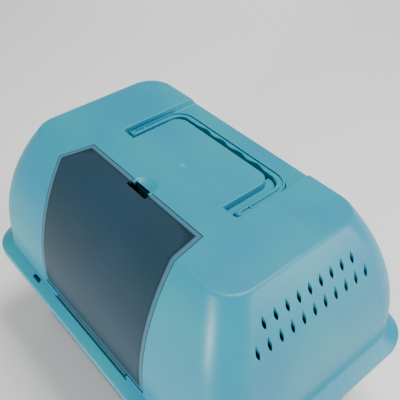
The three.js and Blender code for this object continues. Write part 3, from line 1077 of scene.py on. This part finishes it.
def groove_cutter():
    """The groove as a solid: a ribbon that keeps its distance from the handle's outer edge."""
    lines = []
    for inset in (GROOVE_OUTER, GROOVE_INNER):
        half, back, r = HANDLE_HALF - inset, HANDLE_BACK_Y - inset, HANDLE_CORNER - inset
        right = arc(half - r, back - r, r, 0, 1, 14)
        left = arc(-half + r, back - r, r, 1, 2, 14)
        lines.append([(half, GROOVE_END_Y), *right, *left, (-half, GROOVE_END_Y)])
    return column("groove", lines[0] + lines[1][::-1], HANDLE_TOP_Z - GROOVE_DEPTH, HANDLE_TOP_Z + 3)


groove = groove_cutter()
for side in (-1, 1):
    x = side * (HANDLE_HALF - (GROOVE_OUTER + GROOVE_INNER) / 2)
    bridge = block("bridge", x - BRIDGE_SIDE, x + BRIDGE_SIDE,
                   BRIDGE_Y - BRIDGE_HALF, BRIDGE_Y + BRIDGE_HALF, HANDLE_FOOT_Z, TOP_Z + PAST)
    combine(groove, bridge)
combine(handle, groove)


def finger_hollow():
    """One wave of the grip's inner edge as a solid, from crest to crest."""
    half_pitch = FINGER_PITCH / 2 - 0.05
    wave = []
    for k in range(WAVE_STEPS + 1):
        x = half_pitch * (1 - 2 * k / WAVE_STEPS)
        wave.append((x, FINGER_DEPTH * (0.5 + 0.5 * math.cos(2 * math.pi * x / FINGER_PITCH))))
    front = [(1.0 - half_pitch, -1.0), (half_pitch - 1.0, -1.0)]
    return column("finger", wave + front, HANDLE_FOOT_Z - PAST, HANDLE_TOP_Z + PAST)


first = FINGER_MIDDLE - (FINGER_COUNT - 1) / 2 * FINGER_PITCH
fingers = row_of(
    finger_hollow(), FINGER_COUNT, (first, HANDLE_BACK_Y - GRIP_WIDTH, 0), (FINGER_PITCH, 0, 0)
)
combine(handle, fingers)
barrel_r = (HANDLE_TOP_Z - HANDLE_FOOT_Z) / 2
for side in (-1, 1):
    inner, outer = sorted((side * (HANDLE_HALF - ARM_WIDTH), side * HANDLE_HALF))
    barrel = bar("barrel", "X", inner, PIVOT_Y, PIVOT_Z, barrel_r, outer - inner, 40, BARREL_EDGE)
    combine(handle, barrel, "UNION")
    start, end = sorted((side * (HANDLE_HALF - PIN_ROOT), side * (RECESS_HALF + PIN_REACH)))
    pin = bar("pin", "X", start, PIVOT_Y, PIVOT_Z, PIVOT_R, end - start, 32, PIN_EDGE)
    combine(handle, pin, "UNION")


def on_fingers(p):
    """The upper and lower edges of the finger hollows."""
    at_edge = min(abs(p.z - HANDLE_TOP_Z), abs(p.z - HANDLE_FOOT_Z)) < 0.1
    into_grip = p.y - (HANDLE_BACK_Y - GRIP_WIDTH)
    along = abs(p.x - FINGER_MIDDLE)
    return at_edge and -0.5 < into_grip < FINGER_DEPTH + 0.5 and along < FINGER_PITCH * FINGER_COUNT / 2 + 1


def on_groove(p):
    """The groove's upper edges."""
    if abs(p.z - HANDLE_TOP_Z) > 0.1 or p.y < PIVOT_Y + 3:
        return False
    corner = HANDLE_CORNER - HANDLE_HALF
    back = HANDLE_BACK_Y - HANDLE_CORNER
    beyond = Vector((max(abs(p.x) + corner, 0), max(p.y - back, 0)))
    from_edge = HANDLE_CORNER - beyond.length
    return GROOVE_OUTER - 0.5 < from_edge < GROOVE_INNER + 0.5


soften(handle, FINGER_EDGE, on_fingers, 3)
soften(handle, GROOVE_EDGE, on_groove)
dress(smooth(handle), teal_polypropylene, "handle", "carry_handle")

# ---------------------------------------------------------------- entry surround
# A frame of the same teal polypropylene, snapped into the opening in the left end. It follows the
# hood's surface outside, and holds the flap's pins near its top.
SURROUND = 3.0
SURROUND_INNER_X = -229.0
FLAP_X = -236.0
FLAP_PIVOT_Z = 374.0
FLAP_PIN_R = 2.4
SURROUND_EDGE = 0.6

surround = doorway("entry_surround_frame", 0.0)
combine(surround, doorway("surround_hole", -SURROUND))
combine(surround, hood_body("surround_face", HATCH_SKIN), "INTERSECT")
combine(surround, block("surround_back", -FAR, SURROUND_INNER_X, -FAR, FAR, 0, TOP_Z), "INTERSECT")
combine(surround, bar("pin_holes", "Y", FLAP_X, -FAR, FLAP_PIVOT_Z, FLAP_PIN_R + PIN_GAP, 2 * FAR))


def on_frame_edge(p):
    """The frame's edges, outside and in, but not those of its pin holes."""
    outside = on_hood(p) < 0.6
    inside = abs(p.x - SURROUND_INNER_X) < 1.6
    return (outside or inside) and abs(p.x - FLAP_X) > FLAP_PIN_R + 1.1


soften(surround, SURROUND_EDGE, on_frame_edge)
dress(smooth(surround), teal_polypropylene, "cover", "entry_surround")

# ---------------------------------------------------------------- entry flap
# A swing flap of smoked polystyrene with a thicker rim, hung on a bar that is moulded along its top.
FLAP_THICK = 2.4
FLAP_GAP = 3.0
FLAP_CORNER = 2.5
FLAP_EDGE = 0.5
FLAP_RIM = 5.0
FLAP_HEAD = 8.0
PANEL_CORNER = 3.0
PANEL_EDGE = 0.3
PANEL_STEP = 0.6
PANEL_PAST = 2.0
FLAP_BAR_EDGE = 0.6


def plate(name, y, low, high, r, x0, x1, edge):
    """A flat plate across X with a rounded outline and rounded edges."""
    near = edge * 0.3
    steps = ((-edge, x0), (-near, x0 + near), (0, x0 + edge), (0, x1 - edge), (-near, x1 - near), (-edge, x1))
    rings = [ring(x, -y - out, y + out, low - out, high + out, r + out, 10) for out, x in steps]
    return turned(loft(name, rings), "zxy")


flap_half = DOOR_HALF - SURROUND - FLAP_GAP
flap_low = DOOR_LOW_Z + SURROUND + FLAP_GAP
flap_high = FLAP_PIVOT_Z + FLAP_PIN_R
flap = plate("entry_swing_flap", flap_half, flap_low, flap_high, FLAP_CORNER,
             FLAP_X - FLAP_THICK / 2, FLAP_X + FLAP_THICK / 2, FLAP_EDGE)
for start in (-FLAP_THICK / 2 - PANEL_PAST, FLAP_THICK / 2 - PANEL_STEP):
    panel = plate("flap_panel", flap_half - FLAP_RIM, flap_low + FLAP_RIM, flap_high - FLAP_HEAD,
                  PANEL_CORNER, FLAP_X + start, FLAP_X + start + PANEL_PAST + PANEL_STEP, PANEL_EDGE)
    combine(flap, panel)
pin_half = DOOR_HALF - PIN_GAP
flap_bar = bar("flap_bar", "Y", FLAP_X, -pin_half, FLAP_PIVOT_Z, FLAP_PIN_R, 2 * pin_half, 32, FLAP_BAR_EDGE)
combine(flap, flap_bar, "UNION")
dress(smooth(flap), smoked_polystyrene("smoked_polystyrene", False), "flap", "entry_flap")

# ---------------------------------------------------------------- tray
# A deep tub in slate polypropylene with a flat rim all round, on which the hood's flange sits. Four
# snap lugs stand up from the rim into the flange's slots.
TRAY_SLATE = "#46545f"
TRAY_SLATE_FLOW = "#4b5a65"
TRAY_MATT = 0.5
TRAY_X = 250.0
TRAY_Y = 150.0
TRAY_CORNER = 40.0
TRAY_GROWTH = 0.3
TRAY_FLOOR_Z = 3.0
TRAY_WALL = 3.0
TRAY_FOOT_OUT = 3.5
TRAY_HEAD_OUT = 23.5
RIM_OUT = 39.2
RIM_Z = 186.2
LUG_LENGTH = 15.0
LUG_THICK = 2.6
LUG_RISE = 6.5
LUG_ROUND = 0.6

# The tub's section as (out, height, corner radius), from under its floor, up its wall, round the rim,
# and back down inside. Out is how far past the floor's nominal half length and half width it is.
tub = rounded_path(
    [
        (-TRAY_CORNER / 2, TRAY_FLOOR_Z, 0),
        (TRAY_FOOT_OUT, TRAY_FLOOR_Z, 7.0),
        (TRAY_HEAD_OUT, RIM_Z - TRAY_WALL, 3.0),
        (RIM_OUT, RIM_Z - TRAY_WALL, 0.9),
        (RIM_OUT, RIM_Z, 1.2),
        (TRAY_HEAD_OUT - 2.5, RIM_Z, 2.0),
        (TRAY_FOOT_OUT - TRAY_WALL, TRAY_FLOOR_Z + TRAY_WALL, 8.0),
        (-TRAY_CORNER / 2, TRAY_FLOOR_Z + TRAY_WALL, 0),
    ]
)
rings = []
for out, z in tub:
    x, y = TRAY_X + out, TRAY_Y + out
    rings.append(ring(z, -x, x, -y, y, TRAY_CORNER + TRAY_GROWTH * out, 14))
tray = loft("litter_tray", rings)
for x in (-LUG_X, LUG_X):
    for y in (-LUG_Y, LUG_Y):
        lug = block("lug", x - LUG_LENGTH / 2, x + LUG_LENGTH / 2,
                    y - LUG_THICK / 2, y + LUG_THICK / 2, RIM_Z - 2, RIM_Z + LUG_RISE, LUG_ROUND)
        combine(tray, lug, "UNION")
slate_polypropylene = polypropylene("slate_polypropylene", TRAY_SLATE, TRAY_SLATE_FLOW, TRAY_MATT)
dress(smooth(tray), slate_polypropylene, "base", "tray")

# ---------------------------------------------------------------- feet
# Four round pads of black rubber, pressed onto the tray's underside so that it doesn't slide.
FOOT_R = 12.0
FOOT_HEIGHT = TRAY_FLOOR_Z - 0.3
FOOT_EDGE = 0.7
TREAD_OUTER_R = 8.0
TREAD_INNER_R = 6.0
TREAD_DEPTH = 0.6
RUBBER = "#26282b"
RUBBER_BLOOM = "#34373a"


def rubber(name):
    """Matt black rubber: a faint pale bloom in patches of 12 mm, and a fine 0.8 mm grain from the mould."""
    made, tree = new_material(name)
    place = add_node(tree, "ShaderNodeTexCoord").outputs["Object"]
    bloom = add_node(tree, "ShaderNodeTexNoise", Vector=place, Scale=1 / 0.012, Detail=3.0)
    tone = add_node(
        tree,
        "ShaderNodeMix",
        {"data_type": "RGBA"},
        _0=bloom.outputs["Fac"],
        _6=linear(RUBBER),
        _7=linear(RUBBER_BLOOM),
    )
    grain = add_node(tree, "ShaderNodeTexNoise", Vector=place, Scale=1 / 0.0008, Detail=2.0)
    skin = add_node(
        tree, "ShaderNodeBump", Height=grain.outputs["Fac"], Strength=0.4, Distance=0.0001
    )
    surface = add_node(
        tree,
        "ShaderNodeBsdfPrincipled",
        Base_Color=tone.outputs[2],
        Roughness=0.85,
        IOR=1.52,
        Normal=skin.outputs["Normal"],
    )
    add_node(tree, "ShaderNodeOutputMaterial", Surface=surface.outputs["BSDF"])
    return made


black_rubber = rubber("black_rubber")
for end, y_sign in (("front", -1), ("back", 1)):
    for side, x_sign in (("left", -1), ("right", 1)):
        node = f"foot_{end}_{side}"
        low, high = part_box(node)
        middle = (low + high) / (2 * MM)
        x, y = middle.x, middle.y
        foot = bar("rubber_" + node, "Z", x, y, 0, FOOT_R, FOOT_HEIGHT, 48, FOOT_EDGE)
        tread = bar("tread", "Z", x, y, -1, TREAD_OUTER_R, 1 + TREAD_DEPTH, 48)
        combine(tread, bar("tread_middle", "Z", x, y, -2, TREAD_INNER_R, 4, 48))
        combine(foot, tread)
        dress(smooth(foot), black_rubber, "base", node)
